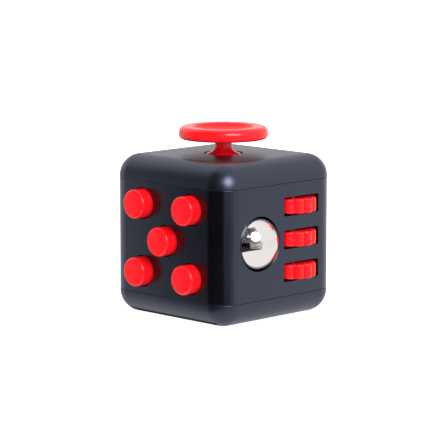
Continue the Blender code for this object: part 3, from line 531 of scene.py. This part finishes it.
def silicone():
    n = Nodes("silicone", (0.7, 0.7, 0.72))
    cloud = n.noise(400, 3.0)
    n.colours(n.spread(cloud, 0.0, 1.0), (0.62, 0.62, 0.64), (0.72, 0.72, 0.74))
    n.link(n.spread(cloud, 0.5, 0.62), n.shader.inputs["Roughness"])
    n.bumps((n.noise(4000, 2.0), 0.08, 0.01 * MM))
    n.set(Subsurface_Weight=0.2, Subsurface_Radius=(0.5, 0.5, 0.5), Subsurface_Scale=0.5 * MM)
    return n.material


def floor_white():
    """A white that gives its own light, as a lit table does, so that nothing is left of the cube's shadow."""
    n = Nodes("floor_white", (0.95, 0.95, 0.95))
    n.colours(n.spread(n.noise(3.0, 2.0), 0.0, 1.0), (0.93, 0.93, 0.93), (0.95, 0.95, 0.95))
    n.set(Roughness=0.9, Emission_Color=(1, 1, 1, 1), Emission_Strength=1.0)
    return n.material


def shade_dark():
    """Painted shadow: a dark sheet under the cube that stands for its contact shadow, which only its glossy lower
    edges show.
    """
    n = Nodes("shade_dark", (0.01, 0.01, 0.01))
    n.colours(n.spread(n.noise(40.0, 2.0), 0.0, 1.0), (0.008, 0.008, 0.009), (0.016, 0.016, 0.017))
    n.set(Roughness=0.9, Specular_IOR_Level=0.0)
    return n.material


MATERIALS = {
    "case_plastic": case_plastic("case_plastic", 0.21),
    "cap_plastic": case_plastic("cap_plastic", 0.36),
    "accent_plastic": red_plastic("red_plastic", 0.175),
    "disc_plastic": red_plastic("disc_plastic", 0.23),
    "inner_plastic": inner_plastic(),
    "ball_steel": polished_steel(),
    "pin_steel": drawn_steel("pin_steel", (0.5, 0.5, 0.51), (0.62, 0.62, 0.64), 0.25, (1, 1, 0.05)),
    "spring_steel": drawn_steel("spring_steel", (0.42, 0.41, 0.4), (0.55, 0.54, 0.53), 0.3, (1, 0.1, 1)),
    "screw_steel": drawn_steel("screw_steel", (0.2, 0.2, 0.21), (0.34, 0.34, 0.36), 0.35, (0.2, 1, 1)),
    "silicone": silicone(),
}


# ---------------------------------------------------------------- case


def screw_place(name):
    low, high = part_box(name)
    return (low + high) / 2


def posts(nodes, facing, foot, radius):
    """Screw posts from a wall inward to foot, and their pilot holes, where the CAD's screws are."""
    made = []
    holes = []
    middle = INNER + WALL / 2
    for node in nodes:
        place = screw_place(node)
        place["XYZ".index(facing[1])] = 0
        made.append(loose(f"post_{node}", cylinder(radius, foot, middle), place, facing))
        pilot = cylinder(SCREW_PILOT, foot - MM, INNER + PILOT_END, 16)
        holes.append(loose(f"pilot_{node}", pilot, place, facing))
    return made, holes


def pair(stem):
    return [f"{stem}_upper", f"{stem}_lower"]


def button_centre(name):
    low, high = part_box(f"button_{name}")
    centre = (low + high) / 2
    return Vector((centre.x, -HALF, centre.z))


def body_shell():
    """The middle of the case: a square tube with screw posts inside and the openings of four sides."""
    rings = []
    for height, inset in edge_levels(SHELL_LOW.z, SHELL_HIGH.z, SEAM_EDGE):
        outline = rounded_rectangle(HALF - inset, HALF - inset, EDGE_RADIUS - inset)
        rings.append(at_height(outline, height))
    for height in (SHELL_HIGH.z, SHELL_LOW.z):
        rings.append(at_height(rounded_rectangle(INNER, INNER, INNER_RADIUS), height))
    shell = loose("case_middle", loft(rings, close_up=True))
    backplate_post = -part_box("button_backplate")[0].y + GAP
    housing_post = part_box("ball_housing")[1].x + GAP
    bracket_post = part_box("gear_bracket_screw_upper")[0].x + 2 * MM
    mounts = [
        (pair("backplate_screw"), "-Y", backplate_post, POST_RADIUS),
        (pair("housing_screw"), "+X", housing_post, POST_RADIUS),
        (pair("gear_bracket_screw"), "+X", bracket_post, SLIM_POST_RADIUS),
        (pair("rocker_screw"), "-X", ROCKER_POST, POST_RADIUS),
        (["click_spring_screw"], "+Y", SPRING_POST, POST_RADIUS),
    ]
    added = []
    cut = []
    for nodes, facing, foot, radius in mounts:
        solid, holes = posts(nodes, facing, foot, radius)
        added += solid
        cut += holes
    fuse(shell, *added)
    for name in BUTTONS:
        cut.append(loose(f"hole_{name}", hole_cutter(BUTTON_HOLE, THROUGH, 0), button_centre(name), "-Y"))
    cut.append(ball_opening())
    cut += wheel_slots()
    dial_hole = hole_cutter(DIAL_HOLE, THROUGH, 0, DIAL_LIP)
    cut.append(loose("dial_hole", dial_hole, (0, HALF, MIDDLE), "+Y"))
    cut.append(rocker_opening())
    carve(shell, *cut)
    finish(shell, "case_plastic", "case", "body_shell")


def ball_place():
    low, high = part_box("roller_ball")
    return (low + high) / 2, (high.z - low.z) / 2


def ball_opening():
    """A cutter that is a sphere behind, for the ball to turn in, and round with a rolled lip in front."""
    centre, radius = ball_place()
    relief = radius + BALL_CLEARANCE
    back = arc(relief, math.pi, math.asin(BALL_MOUTH / relief), 20, (0, centre.x - HALF))
    wall = lip_profile(BALL_MOUTH, 0, BALL_LIP)
    cutter = turned([*back, *wall, (0, wall[-1][1])], 96)
    return loose("ball_opening", cutter, (HALF, centre.y, centre.z), "+X")


def wheel_place(name):
    low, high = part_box(f"gear_{name}")
    centre = (low + high) / 2
    centre.x = joint(f"gear_{name}_spin")["pos_m"][0]
    return centre, high.z - low.z


def wheel_slots():
    made = []
    for name in WHEELS:
        centre = wheel_place(name)[0]
        cutter = slot_cutter(SLOT_HALF_WIDTH, SLOT_HALF_LENGTH, SLOT_CORNER, THROUGH, 0, FINE_LIP)
        made.append(loose(f"slot_{name}", cutter, (HALF, centre.y, centre.z), "+X"))
    return made


def cap_shell(seam):
    """A case end, up from its rim, about the cube's centre: outer and inner skin, joined round the rim."""
    outer = []
    inner = [at_height(rounded_rectangle(INNER, INNER, INNER_RADIUS), seam)]
    for angle in quarter(4):
        inset = SEAM_EDGE * (1 - math.sin(angle))
        outline = rounded_rectangle(HALF - inset, HALF - inset, EDGE_RADIUS - inset)
        outer.append(at_height(outline, seam + SEAM_EDGE * (1 - math.cos(angle))))
    for angle in quarter(CORNER_STEPS):
        for skin, half, radius in ((outer, HALF, EDGE_RADIUS), (inner, INNER, INNER_RADIUS)):
            inset = radius * (1 - math.cos(angle))
            height = half - radius * (1 - math.sin(angle))
            outline = rounded_rectangle(half - inset, half - inset, radius - inset)
            skin.append(at_height(outline, height))
    return loft([*reversed(outer), *inner])


def tab(seam, quadrant):
    """One locating tab: an L round the inside of a corner, whose root runs into the wall."""
    centre = INNER - INNER_RADIUS
    inside = INNER_RADIUS - GAP - TAB_THICKNESS
    rings = []
    for height, radius in (
        (seam - TAB_REACH, INNER_RADIUS - GAP),
        (seam + GAP, INNER_RADIUS - GAP),
        (seam + 1.5 * GAP, INNER_RADIUS + TAB_ROOT),
        (seam + TAB_ROOT_RISE, INNER_RADIUS + TAB_ROOT),
    ):
        outline = [
            (centre + radius, centre - TAB_FLANK),
            *arc(radius, QUARTER, 0, 8, (centre, centre)),
            (centre - TAB_FLANK, centre + radius),
            (centre - TAB_FLANK, centre + inside),
            *arc(inside, 0, QUARTER, 8, (centre, centre)),
            (centre + inside, centre - TAB_FLANK),
        ]
        rings.append(at_height(outline, height))
    bm = loft(rings)
    bmesh.ops.rotate(bm, cent=(0, 0, 0), matrix=Matrix.Rotation(quadrant * QUARTER, 3, "Z"), verts=bm.verts)
    return bm


def cap(name, facing):
    seam = SEAM_RISE + SEAM
    made = loose(name, cap_shell(seam), CENTRE, facing)
    fuse(made, *[loose(f"{name}_tab_{i}", tab(seam, i), CENTRE, facing) for i in range(4)])
    return made


def top_cap():
    """The top, with the stick's opening, which is a sphere behind, and posts for the stick's bracket."""
    made = cap("case_top", "+Z")
    pivot = Vector(joint("joystick_tilt_x")["pos_m"])
    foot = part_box("joystick_bracket")[1].z + BRACKET_GAP
    solid = []
    holes = []
    for node in ("joystick_screw_1", "joystick_screw_2"):
        place = screw_place(node)
        place.z = 0
        pilot = cylinder(SCREW_PILOT, foot - MM, TOP - WALL + PILOT_END, 16)
        solid.append(loose(f"post_{node}", cylinder(POST_RADIUS, foot, TOP - WALL / 2), place))
        holes.append(loose(f"pilot_{node}", pilot, place))
    fuse(made, *solid)
    back = arc(STICK_RELIEF, math.pi, math.asin(STICK_HOLE / STICK_RELIEF), 24)
    wall = lip_profile(STICK_HOLE, TOP - pivot.z, STICK_LIP)
    opening = turned([*back, *wall, (0, wall[-1][1])], 96)
    carve(made, loose("stick_opening", opening, pivot), *holes)
    finish(made, "cap_plastic", "case", "top_cap")


def bottom_cap():
    """The base, with an oval thumb dish whose rim rolls over softly."""
    made = cap("case_bottom", "-Z")
    middle = WALL / 2
    for operation, radius, crest, base, under in (
        (fuse, BULGE_RADIUS, BULGE_RISE, middle, middle),
        (carve, DISH_RADIUS, DISH_DEPTH, 0.0, -MM),
    ):
        height = crest - base
        sphere = (radius**2 + height**2) / (2 * height)
        slope = math.asin(radius / sphere)
        curve = arc(sphere, 0, slope, 24, (0.0, crest - sphere))
        if under < base:
            curve.append((radius + MM / math.tan(slope), under))
        bm = turned([*curve, (0, under)], 96)
        bmesh.ops.scale(bm, vec=DISH_STRETCH, verts=bm.verts)
        operation(made, loose("dish", bm))
    finish(made, "cap_plastic", "case", "bottom_cap")


# ---------------------------------------------------------------- click side


def buttons():
    """Round buttons with a soft edge, a flange that stops them behind the wall, and a plunger."""
    for name in BUTTONS:
        low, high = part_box(f"button_{name}")
        proud = -HALF - low.y
        foot = -(high.y + HALF)
        profile = rounded(
            [
                (0, foot, 0),
                (PLUNGER_RADIUS, foot, 0.15 * MM),
                (PLUNGER_RADIUS, FLANGE_FOOT, 0),
                (FLANGE_RADIUS, FLANGE_FOOT, 0.1 * MM),
                (FLANGE_RADIUS, FLANGE_TOP, 0.1 * MM),
                (BUTTON_RADIUS, FLANGE_TOP, 0.1 * MM),
                (BUTTON_RADIUS, proud, BUTTON_EDGE),
                (0, proud, 0),
            ],
            closed=False,
        )
        made = loose(f"push_{name}", turned(profile, 72), button_centre(name), "-Y")
        finish(made, "accent_plastic", f"button_{name}", f"button_{name}")


# ---------------------------------------------------------------- roll side


def ball():
    """A ball from a cube's subdivided faces, so that it has no poles."""
    centre, radius = ball_place()
    bm = bmesh.new()
    bmesh.ops.create_cube(bm, size=2.0)
    bmesh.ops.subdivide_edges(bm, edges=bm.edges, cuts=BALL_CUTS, use_grid_fill=True)
    for vert in bm.verts:
        # Equal angles over each face keep the quads even.
        evened = Vector([math.tan(c * math.pi / 4) for c in vert.co])
        vert.co = evened.normalized() * radius
    made = loose("rolling_ball", bm, centre)
    finish(made, "ball_steel", "roller_ball", "roller_ball")


def wheel_outline(steps=12):
    """The rim of a thumb wheel: round lobes, of a number of steps each, that meet in narrow valleys."""
    points = []
    count = WHEEL_LOBES * steps
    for i in range(count):
        across = (i % steps) / steps * 2 - 1
        angle = WHEEL_PHASE + math.tau * i / count
        reach = WHEEL_RADIUS - WHEEL_VALLEY * across**2
        points.append((reach * math.cos(angle), reach * math.sin(angle)))
    return points


def wheels():
    outline = wheel_outline()
    angles = [WHEEL_PHASE + math.tau * i / len(outline) for i in range(len(outline))]
    bore = [(WHEEL_BORE * math.cos(a), WHEEL_BORE * math.sin(a)) for a in angles]
    for name in WHEELS:
        centre, width = wheel_place(name)
        rings = []
        for height, inset in edge_levels(-width / 2, width / 2, WHEEL_EDGE, 3):
            rings.append(at_height(grown(outline, -inset), height))
        rings += [at_height(bore, width / 2), at_height(bore, -width / 2)]
        made = loose(f"thumb_wheel_{name}", loft(rings, close_up=True), centre)
        body = f"gear_{name}"
        finish(made, "accent_plastic", body, body, angle=34)


# ---------------------------------------------------------------- glide side


def thumb_disc():
    """A disc with a round rim about a shallow dish, and a socket under it for the stem."""
    low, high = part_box("joystick_disc")
    radius = high.x
    crest = high.z - low.z
    profile = rounded(
        [
            (0, SOCKET_DEPTH, 0),
            (SOCKET_RADIUS, SOCKET_DEPTH, 0),
            (SOCKET_RADIUS, 0, 0.1 * MM),
            (radius, 0, 0.7 * MM),
            (radius, crest - 0.3 * MM, 1.2 * MM),
            (8.1 * MM, crest + 0.05 * MM, 1.2 * MM),
            (6.45 * MM, crest - 0.02 * MM, 0.7 * MM),
            (5.7 * MM, crest - 0.7 * MM, 1.4 * MM),
            (4.4 * MM, crest - 1.35 * MM, 3.0 * MM),
            (2.4 * MM, crest - 1.52 * MM, 5.0 * MM),
            (0, crest - 1.55 * MM, 0),
        ],
        closed=False,
        step=math.radians(5),
    )
    made = loose("thumb_disc", turned(profile, 96), (0, 0, low.z))
    finish(made, "disc_plastic", "joystick", "joystick_disc")


def stem():
    """The stem about its pivot: dome, flared neck, spigot, and the cross that the gimbal holds."""
    pivot = Vector(joint("joystick_tilt_x")["pos_m"])
    face = TOP - pivot.z
    disc_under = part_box("joystick_disc")[0].z - pivot.z
    neck = math.asin(NECK_FOOT / DOME_OUTER)
    outside = arc(DOME_OUTER, neck, DOME_EDGE, 12)
    inside = arc(DOME_INNER, DOME_EDGE, math.asin(ROOT_RADIUS / DOME_INNER), 12)
    neck_line = rounded(
        [
            (0, disc_under + SPIGOT_RISE, 0),
            (SPIGOT_RADIUS, disc_under + SPIGOT_RISE, 0.1 * MM),
            (SPIGOT_RADIUS, disc_under - 0.05 * MM, 0),
            (STEM_RADIUS, disc_under - 0.05 * MM, 0),
            (STEM_RADIUS, face + 0.75 * MM, 1.4 * MM),
            (2.3 * MM, face + 0.4 * MM, 1.2 * MM),
            (*outside[0], 0),
        ],
        closed=False,
    )
    profile = [
        *neck_line,
        *outside[1:],
        *inside,
        (ROOT_RADIUS, COLLAR_HALF),
        (COLLAR_RADIUS, COLLAR_HALF),
        (COLLAR_RADIUS, -COLLAR_HALF),
        (TAIL_RADIUS, -COLLAR_HALF),
        (TAIL_RADIUS, -TAIL_DEPTH),
        (0, -TAIL_DEPTH),
    ]
    made = loose("thumb_stem", turned(profile, 72), pivot)
    fuse(made, loose("stem_cross", cylinder(CROSS_RADIUS, -CROSS_HALF, CROSS_HALF), pivot, "+Y"))
    finish(made, "accent_plastic", "joystick", "joystick_stem")


# ---------------------------------------------------------------- flip and spin sides


def rocker_tip():
    """The end of a facet of the level rocker, about its pivot: (along, outward)."""
    along = ROCKER_ARM * math.cos(ROCKER_TILT)
    return Vector((along, ROCKER_VALLEY + ROCKER_ARM * math.sin(ROCKER_TILT)))


def rocker_opening():
    tall = rocker_tip().length + ROCKER_CLEARANCE
    cutter = slot_cutter(tall, ROCKER_SLOT_HALF, ROCKER_SLOT_CORNER, THROUGH, 0, FINE_LIP)
    return loose("rocker_opening", cutter, (-HALF, 0, MIDDLE), "-X")


def rocker():
    """Two flat facets that rise from a soft valley, with rounded edges, tilted to one of its two stops."""
    tip = rocker_tip()
    past_tip = math.atan2(tip.x, tip.y) + math.radians(4)
    side = arc(tip.length, past_tip, math.radians(100), 8)
    belly = [(2.0 * MM, -1.6 * MM), (0.9 * MM, -2.0 * MM), (0.5 * MM, -3.2 * MM)]
    corner = (tip.x * 0.985, tip.y * 0.985, 0.35 * MM)
    right = [corner, *[(x, y, 0) for x, y in (*side, *belly)]]
    left = [(-x, y, radius) for x, y, radius in reversed(right)]
    valley = (0.0, ROCKER_VALLEY, 1.5 * MM)
    tail = (0.0, -ROCKER_TAIL, 0.3 * MM)
    outline = list(reversed(rounded([valley, *right, tail, *left])))
    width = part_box("rocker")[1].y
    rings = []
    for height, inset in edge_levels(-width, width, ROCKER_EDGE):
        rings.append(at_height(grown(outline, -inset), height))
    bm = loft(rings)
    # From a side view in XY to one that faces along Y, with its outside to -X
    basis = Matrix(((0, -1, 0), (0, 0, 1), (1, 0, 0))).to_4x4()
    bm.transform(Matrix.Rotation(ROCKER_TILT, 4, "Y") @ basis)
    pivot = Vector(joint("rocker_flip")["pos_m"])
    made = loose("flip_rocker", bm, pivot)
    carve(made, loose("rocker_bore", cylinder(ROCKER_BORE, -HALF, HALF), pivot, "+Y"))
    finish(made, "accent_plastic", "rocker", "rocker")


def dial():
    """The dial about the centre of its face: hub, square key, and a thumb dimple off centre."""
    low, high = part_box("dial")
    radius = high.x
    top = high.y - HALF
    key_foot = low.y - HALF
    profile = rounded(
        [
            (0, HUB_FOOT, 0),
            (HUB_RADIUS, HUB_FOOT, 0.1 * MM),
            (HUB_RADIUS, DIAL_LIFT, 0),
            (radius, DIAL_LIFT, 0.25 * MM),
            (radius, top, 0.9 * MM),
            (0, top, 0),
        ],
        closed=False,
    )
    face = (0, HALF, MIDDLE)
    made = loose("spin_dial", turned(profile, 96), face, "+Y")
    key = box((-KEY_HALF, -KEY_HALF, key_foot), (KEY_HALF, KEY_HALF, HUB_FOOT + 0.5 * MM))
    fuse(made, loose("dial_key", key, face, "+Y"))
    sphere = (DIMPLE_RADIUS**2 + DIMPLE_DEPTH**2) / (2 * DIMPLE_DEPTH)
    start = math.asin(DIMPLE_RADIUS / sphere)
    curve = arc(sphere, math.pi, math.pi - start, 16, (0, sphere - DIMPLE_DEPTH))
    lip = [(DIMPLE_RADIUS + 0.5 * MM, 0.35 * MM), (0, 0.35 * MM)]
    dimple = turned([*curve, *lip], 64)
    place = (0, HALF + top, MIDDLE + DIMPLE_RISE)
    pilot = cylinder(SCREW_PILOT, key_foot - MM, -0.3 * MM, 16)
    carve(made, loose("dial_dimple", dimple, place, "+Y"), loose("dial_pilot", pilot, face, "+Y"))
    finish(made, "accent_plastic", "dial", "dial")


def inner_pieces():
    """CAD nodes that stay: the mechanisms inside the case, with better finishes."""
    slots = {part["node"]: part["material_slot"] for part in frame["record"]["subparts"]}
    for name, node in frame["nodes"].items():
        if node.hide_render:
            continue
        node.data.materials.clear()
        node.data.materials.append(MATERIALS[slots[name]])


# ---------------------------------------------------------------- studio


def direction(azimuth, elevation):
    """Azimuth 0 is on the button side and 90 on the ball side."""
    a, e = math.radians(azimuth), math.radians(elevation)
    return Vector((math.sin(a) * math.cos(e), -math.cos(a) * math.cos(e), math.sin(e)))


def round_light(name, radius, power, azimuth, elevation):
    """A round soft box that faces the cube."""
    data = bpy.data.lights.new(name, "AREA")
    data.shape = "DISK"
    data.size = 2 * radius
    data.energy = power
    light = bpy.data.objects.new(name, data)
    away = direction(azimuth, elevation)
    light.location = CENTRE + away * LAMP_DISTANCE
    light.rotation_euler = away.to_track_quat("Z", "Y").to_euler()
    bpy.context.scene.collection.objects.link(light)
    return light


class Sky:
    """The room that the cube's shiny parts mirror: soft-edged panels, by azimuth and elevation."""

    def __init__(self, tree):
        self.tree = tree
        self.place = self.node("ShaderNodeTexCoord").outputs["Generated"]
        split = self.node("ShaderNodeSeparateXYZ")
        tree.links.new(self.place, split.inputs["Vector"])
        x, y, z = (split.outputs[axis] for axis in "XYZ")
        turn = self.maths("ARCTAN2", x, self.maths("MULTIPLY", y, -1.0))
        self.azimuth = self.maths("MULTIPLY", turn, math.degrees(1))
        self.elevation = self.maths("MULTIPLY", self.maths("ARCSINE", z), math.degrees(1))

    def node(self, kind):
        return self.tree.nodes.new(kind)

    def mottle(self, scale, low, high):
        """A mottled level between low and high, for a wall with things on it."""
        noise = self.node("ShaderNodeTexNoise")
        noise.inputs["Scale"].default_value = scale
        noise.inputs["Detail"].default_value = 3.0
        self.tree.links.new(self.place, noise.inputs["Vector"])
        return self.rise(noise.outputs["Fac"], 0.35, 0.65, low, high)

    def maths(self, operation, *values):
        node = self.node("ShaderNodeMath")
        node.operation = operation
        for slot, value in zip(node.inputs, values):
            if isinstance(value, (int, float)):
                slot.default_value = value
            else:
                self.tree.links.new(value, slot)
        return node.outputs[0]

    def rise(self, source, start, end, low=0.0, high=1.0):
        """From low to high, softly, while the source goes from start to end."""
        node = self.node("ShaderNodeMapRange")
        node.interpolation_type = "SMOOTHSTEP"
        self.tree.links.new(source, node.inputs["Value"])
        for name, value in (("From Min", start), ("From Max", end), ("To Min", low), ("To Max", high)):
            node.inputs[name].default_value = value
        return node.outputs["Result"]

    def blend(self, share, first, second):
        node = self.node("ShaderNodeMix")
        for slot, value in (("Factor", share), ("A", first), ("B", second)):
            if isinstance(value, (int, float)):
                node.inputs[slot].default_value = value
            else:
                self.tree.links.new(value, node.inputs[slot])
        return node.outputs["Result"]

    def steps(self, source, first, *changes):
        """A row of levels: first, then each level after its own soft edge (start, end, level)."""
        level = first
        for start, end, after in changes:
            level = self.blend(self.rise(source, start, end), level, after)
        return level


def room(sky):
    """Dark in front, grey from the near edge to the right, white walls beyond and behind, a white floor.

    Each row of panels has its soft edges at azimuths, and the rows meet at elevations, all in degrees.
    """
    low = sky.steps(
        sky.azimuth,
        1.0,
        (-112, -96, 0.74),
        (-58, -38, sky.mottle(13.0, -0.03, 0.06)),
        (44, 46, sky.mottle(15.0, -0.1, 0.64)),
        (58, 86, sky.mottle(15.0, 0.22, 0.84)),
        (92, 100, 0.88),
        (165, 178, 1.0),
    )
    high = sky.steps(
        sky.azimuth,
        1.0,
        (-74, -50, sky.mottle(9.0, 0.03, 0.20)),
        (40, 60, sky.mottle(9.0, 0.10, 0.30)),
        (82, 92, WHITE_WALL),
        (160, 176, 0.8),
    )
    skirting = sky.steps(sky.azimuth, 0.9, (-54, -42, 0.03), (84, 98, WHITE_WALL))
    level = sky.blend(sky.rise(sky.elevation, -17, -13), skirting, low)
    level = sky.blend(sky.rise(sky.elevation, 6, 11), level, high)
    level = sky.blend(sky.rise(sky.elevation, 66, 72), level, 0.95)
    floor_edge = sky.rise(sky.azimuth, -40, 100, -36, -19)
    above = sky.maths("SUBTRACT", sky.elevation, floor_edge)
    return sky.blend(sky.rise(above, -1.5, 1.5), WHITE_WALL, level)


def ground(name, half, place, material):
    """A level square of the stage. It neither lights nor shades the cube."""
    mesh = bpy.data.meshes.new(name)
    bm = bmesh.new()
    bmesh.ops.create_grid(bm, x_segments=1, y_segments=1, size=half)
    bm.to_mesh(mesh)
    bm.free()
    mesh.materials.append(material)
    made = bpy.data.objects.new(name, mesh)
    made.location = place
    bpy.context.scene.collection.objects.link(made)
    made.visible_diffuse = False
    made.visible_shadow = False
    return made


def studio():
    """White to the camera, even daylight to matt surfaces, a room to shiny ones, and three round lamps."""
    world = bpy.data.worlds.new("studio")
    bpy.context.scene.world = world
    world.use_nodes = True
    sky = Sky(world.node_tree)
    rays = sky.node("ShaderNodeLightPath").outputs
    level = sky.blend(rays["Is Glossy Ray"], DAYLIGHT, room(sky))
    level = sky.blend(rays["Is Camera Ray"], level, 1.0)
    background = world.node_tree.nodes["Background"]
    background.inputs["Color"].default_value = (1, 1, 1, 1)
    world.node_tree.links.new(level, background.inputs["Strength"])
    round_light("key", 155 * MM, 2.4, 71, 30)
    round_light("spark", 25 * MM, 0.04, 40, 32)
    fill = round_light("fill", 100 * MM, 0.5, 45, 5)
    fill.visible_glossy = False

    floor = ground("floor", 3.0, (0, 0, 0), floor_white())
    floor.visible_glossy = False
    # Painted shadow: a dark square just under the cube, seen only in reflections, stands for the shade where it
    # meets the floor.
    contact = ground("contact_shade", 13.2 * MM, (-1.2 * MM, -1.2 * MM, -0.02 * MM), shade_dark())
    contact.visible_camera = False


def camera():
    """The photographer's view: low, square on to the vertical edge between the button and ball sides."""
    azimuth, elevation = 45.0, 8.843
    distance = 500.2 * MM
    aside, lifted = 0.126 * MM, 1.619 * MM
    back = direction(azimuth, elevation)
    right = direction(azimuth + 90, 0)
    up = back.cross(right)
    data = bpy.data.cameras.new("camera")
    data.sensor_width = 36
    data.lens = 193.91
    made = bpy.data.objects.new("camera", data)
    place = CENTRE + back * distance + right * aside + up * lifted
    made.matrix_world = Matrix.Translation(place) @ Matrix((right, up, back)).transposed().to_4x4()
    bpy.context.scene.collection.objects.link(made)
    bpy.context.scene.camera = made


body_shell()
top_cap()
bottom_cap()
buttons()
ball()
wheels()
thumb_disc()
stem()
rocker()
dial()
inner_pieces()
studio()
camera()
bpy.context.scene.view_settings.view_transform = "Standard"
